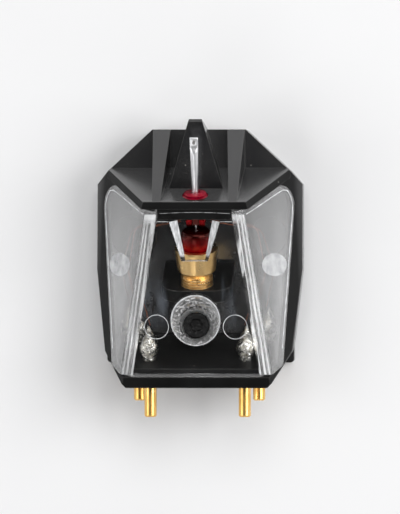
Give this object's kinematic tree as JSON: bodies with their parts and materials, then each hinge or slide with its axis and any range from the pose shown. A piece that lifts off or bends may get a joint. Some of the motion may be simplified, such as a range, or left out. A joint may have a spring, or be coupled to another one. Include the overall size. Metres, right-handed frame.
{
  "type": "turntable stylus cartridge",
  "caption": "Moving-coil turntable cartridge with a black body, a clear faceted cover over its coil generator, a tapered cantilever with stylus, and gold contact pins at the rear.",
  "frame": {"origin": "on the mounting face, midway between the two headshell holes", "axes": "+X across the object, +Y to the front where the stylus is, +Z from the mounting face to the record side"},
  "size_m": [0.0206, 0.0297, 0.0144],
  "materials": {
    "black_moulding": "fine matt moulding with a grey sheen",
    "clear_plastic": "clear moulded plastic, polished",
    "black_steel": "blackened steel",
    "insert_brass": "turned brass",
    "red_rubber": "soft translucent red",
    "sleeve_brass": "turned brass, dulled",
    "soft_iron": "ground iron",
    "nickelled_magnet": "nickel plated",
    "former_plastic": "lacquered",
    "coil_copper": "enamelled red copper wire",
    "wire_steel": "drawn wire",
    "bright_aluminium": "bright drawn tube",
    "diamond": "polished",
    "gold_plate": "bright gold plate",
    "solder": "grainy tin solder",
    "lead_copper": "enamelled copper hair wire"
  },
  "bodies": {
    "chassis": {"body": "black_moulding", "clear_cover": "clear_plastic", "cover_screw": "black_steel", "mount_inserts": "insert_brass", "front_seal": "red_rubber", "generator_sleeve": "sleeve_brass", "pole_piece": "soft_iron", "magnet": "nickelled_magnet", "pin_left_inner": "gold_plate", "solder_left_inner": "solder", "lead_left_inner": "lead_copper", "pin_right_inner": "gold_plate", "solder_right_inner": "solder", "lead_right_inner": "lead_copper", "pin_left_outer": "gold_plate", "solder_left_outer": "solder", "lead_left_outer": "lead_copper", "pin_right_outer": "gold_plate", "solder_right_outer": "solder", "lead_right_outer": "lead_copper"},
    "suspension": {"suspension_bush": "red_rubber"},
    "stylus_assembly": {"cantilever": "bright_aluminium", "stylus": "diamond", "coil_former": "former_plastic", "coil_left": "coil_copper", "coil_right": "coil_copper", "suspension_wire": "wire_steel"}
  },
  "joints": [
    {"name": "stylus_sideways", "type": "hinge", "parent": "chassis", "child": "suspension", "pos_m": [0, -0.0002, 0.00987], "axis": [0, -0.3827, 0.9239], "range_deg": [-1.5, 1.5], "stiffness_Nm_per_rad": 0.004},
    {"name": "stylus_up_down", "type": "hinge", "parent": "suspension", "child": "stylus_assembly", "pos_m": [0, -0.0002, 0.00987], "axis": [1, 0, 0], "range_deg": [-2, 1], "stiffness_Nm_per_rad": 0.004}
  ]
}
